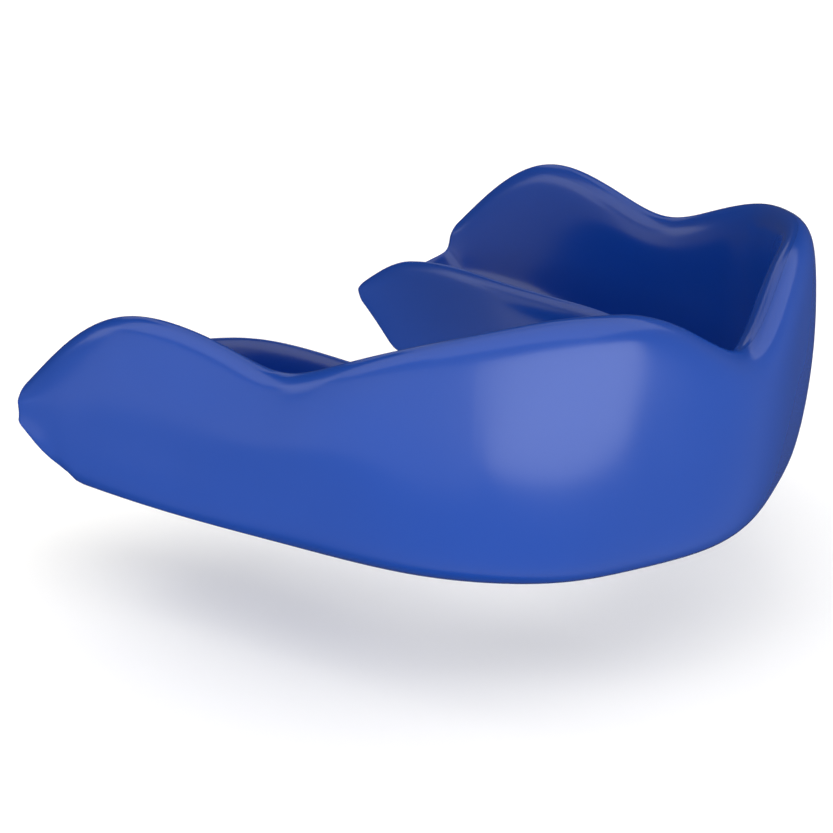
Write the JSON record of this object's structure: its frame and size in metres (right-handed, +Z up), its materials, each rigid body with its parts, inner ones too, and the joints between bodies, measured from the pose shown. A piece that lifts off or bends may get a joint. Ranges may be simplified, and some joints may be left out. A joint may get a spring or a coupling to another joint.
{
  "type": "mouthguard",
  "caption": "Upper-arch combat-sports mouthguard: a U-shaped tooth channel with a tall lip and cheek flange, a notched front rim and a flat bite face, in bonded layers.",
  "frame": {"origin": "on the flat bite face, at the middle of the guard's width and depth; the midline of the mouth is x = 0", "axes": "+Z up from the bite face towards the gum, -Y towards the lips, +Y towards the molar ends, +X towards the wearer's left, as for an upper guard"},
  "size_m": [0.0626, 0.0554, 0.0236],
  "materials": {
    "outer_eva": "satin royal blue, moulded and polished smooth",
    "liner_eva": "satin royal blue, moulded smooth",
    "stiff_strip": "matt, not visible once bonded in",
    "bite_cushion": "matt soft cushion, not visible once bonded in"
  },
  "bodies": {
    "root": {"outer_layer": "outer_eva", "inner_liner": "liner_eva", "front_impact_strip": "stiff_strip", "bite_pad_left": "bite_cushion", "bite_pad_right": "bite_cushion"}
  },
  "joints": []
}
